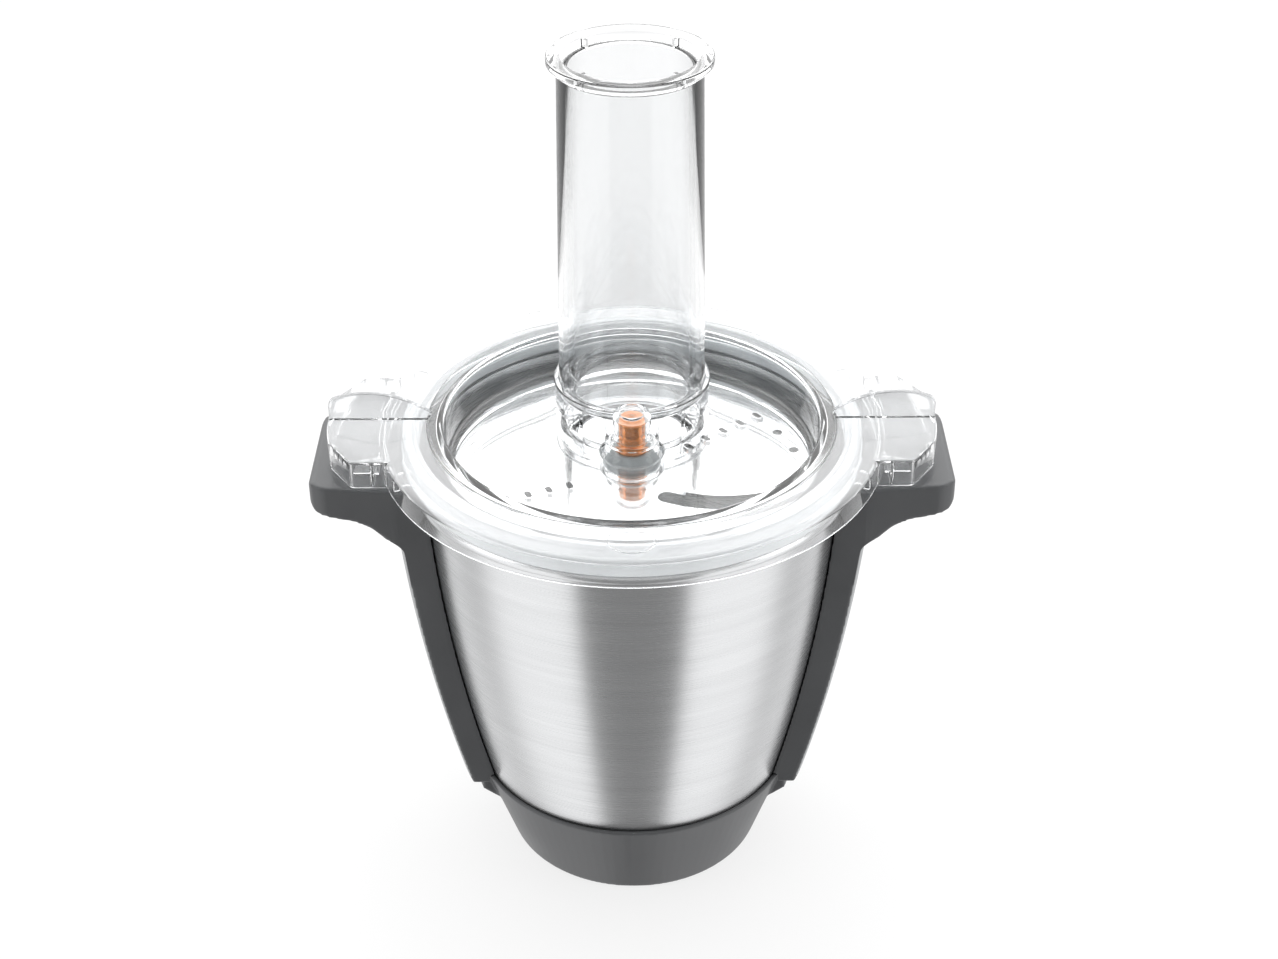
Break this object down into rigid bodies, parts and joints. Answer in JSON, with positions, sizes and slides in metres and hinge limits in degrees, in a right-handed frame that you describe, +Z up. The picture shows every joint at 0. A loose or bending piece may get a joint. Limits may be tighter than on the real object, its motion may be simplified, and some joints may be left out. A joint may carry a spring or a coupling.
{
  "type": "food processor bowl with slicing attachment",
  "caption": "Steel mixing bowl with two handles, a clear lid with feed tube and pusher, and a slicing and grating disc on a central drive shaft.",
  "frame": {"origin": "bowl axis at the underside of the base", "axes": "+Z up along the bowl axis, -Y the front, handles along X, feed tube towards +Y"},
  "size_m": [0.299, 0.236, 0.3965],
  "materials": {
    "brushed_steel": "brushed around the axis",
    "dark_plastic": "fine matt grain",
    "grey_plastic": "satin",
    "clear_plastic": "clear polished plastic",
    "polished_steel": "mirror polish",
    "blade_steel": "ground edge",
    "bronze": "sintered bronze",
    "brass": "plain",
    "silicone": "translucent silicone",
    "seal_rubber": "smooth",
    "cast_alloy": "as cast",
    "black_plastic": "plain",
    "screw_steel": "zinc plated"
  },
  "bodies": {
    "bowl": {"bowl_shell": "brushed_steel", "base_cup": "dark_plastic", "base_plate": "dark_plastic", "left_handle": "dark_plastic", "right_handle": "dark_plastic", "left_leg_cover": "grey_plastic", "right_leg_cover": "grey_plastic", "left_upper_screw": "screw_steel", "left_lower_screw": "screw_steel", "right_upper_screw": "screw_steel", "right_lower_screw": "screw_steel", "front_base_screw": "screw_steel", "left_base_screw": "screw_steel", "right_base_screw": "screw_steel", "heater_plate": "cast_alloy", "heating_element": "blade_steel", "contact_block": "black_plastic", "left_contact_pin": "brass", "middle_contact_pin": "brass", "right_contact_pin": "brass", "heat_sensor": "blade_steel", "bearing_housing": "cast_alloy", "housing_nut": "blade_steel", "lower_bearing": "blade_steel", "upper_bearing": "blade_steel", "shaft_seal": "seal_rubber"},
    "drive": {"drive_shaft": "blade_steel", "drive_coupling": "black_plastic", "shaft_clip": "blade_steel", "drive_sleeve": "grey_plastic", "disc_hub": "grey_plastic", "cutting_disc": "polished_steel", "slicing_blade": "blade_steel", "shaft_tip": "bronze"},
    "lid_carrier": {"lid_seal": "silicone"},
    "lid": {"lid_cover": "clear_plastic"},
    "tube": {"feed_tube": "clear_plastic"},
    "pusher": {"food_pusher": "clear_plastic"}
  },
  "joints": [
    {"name": "drive_spin", "type": "hinge", "parent": "bowl", "child": "drive", "pos_m": [0, 0, 0], "axis": [0, 0, 1], "continuous": true},
    {"name": "lid_lift", "type": "slide", "parent": "bowl", "child": "lid_carrier", "axis": [0, 0, 1], "range_m": [0, 0.15]},
    {"name": "lid_turn", "type": "hinge", "parent": "lid_carrier", "child": "lid", "pos_m": [0, 0, 0], "axis": [0, 0, 1], "range_deg": [0, 30]},
    {"name": "tube_lift", "type": "slide", "parent": "lid", "child": "tube", "axis": [0, 0, 1], "range_m": [0, 0.08]},
    {"name": "pusher_slide", "type": "slide", "parent": "tube", "child": "pusher", "axis": [0, 0, 1], "range_m": [0, 0.155]}
  ]
}
